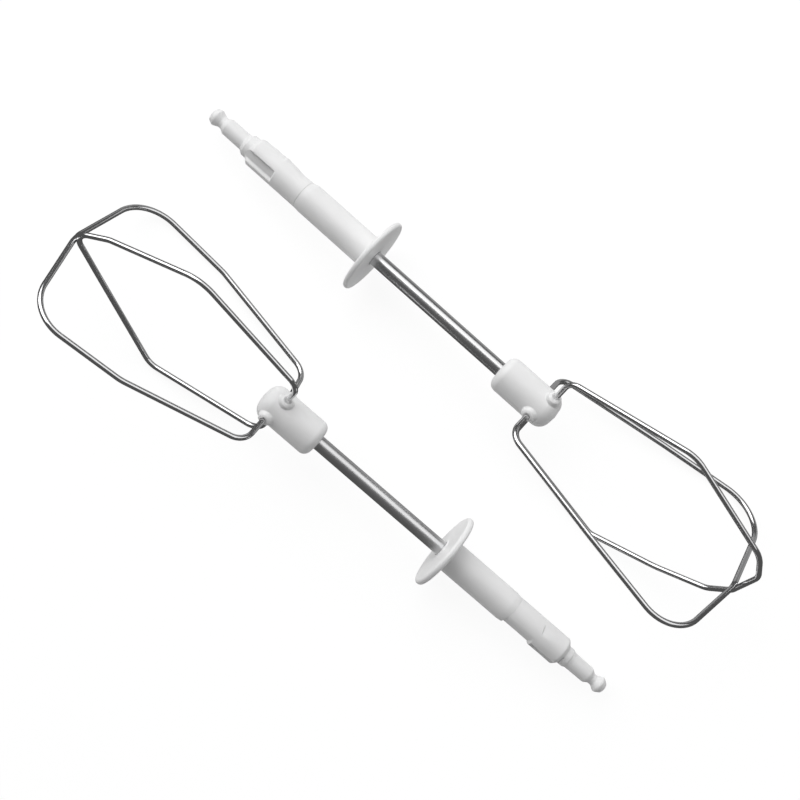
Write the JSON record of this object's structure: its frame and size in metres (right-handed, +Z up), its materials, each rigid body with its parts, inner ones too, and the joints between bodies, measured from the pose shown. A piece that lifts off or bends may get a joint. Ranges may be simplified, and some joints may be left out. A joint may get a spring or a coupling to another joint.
{
  "type": "hand mixer whisk pair",
  "caption": "Matched left and right wire balloon whisks for a hand mixer, lying head to tail, each with a snap-in white drive shank, splash collar disc, steel shaft, hub and crossed wire loops.",
  "frame": {"origin": "bottom centre of the bounding box of the pair, on the table", "axes": "+X along the pair's length, towards the wire loops of the right whisk; +Y across, from the left whisk to the right whisk; +Z up from the table"},
  "size_m": [0.2001, 0.0908, 0.0433],
  "materials": {
    "white_plastic": "satin, moulded",
    "polished_steel": "polished stainless steel"
  },
  "bodies": {
    "left_whisk": {"left_drive_shank": "white_plastic", "left_collar": "white_plastic", "left_shaft": "polished_steel", "left_hub": "white_plastic", "left_wide_loop": "polished_steel", "left_kinked_loop": "polished_steel"},
    "right_whisk": {"right_drive_shank": "white_plastic", "right_collar": "white_plastic", "right_shaft": "polished_steel", "right_hub": "white_plastic", "right_wide_loop": "polished_steel", "right_kinked_loop": "polished_steel"}
  },
  "joints": [
    {"name": "right_whisk_lift", "type": "slide", "parent": "left_whisk", "child": "right_whisk", "axis": [0, 0, 1], "range_m": [0, 0.1]}
  ]
}
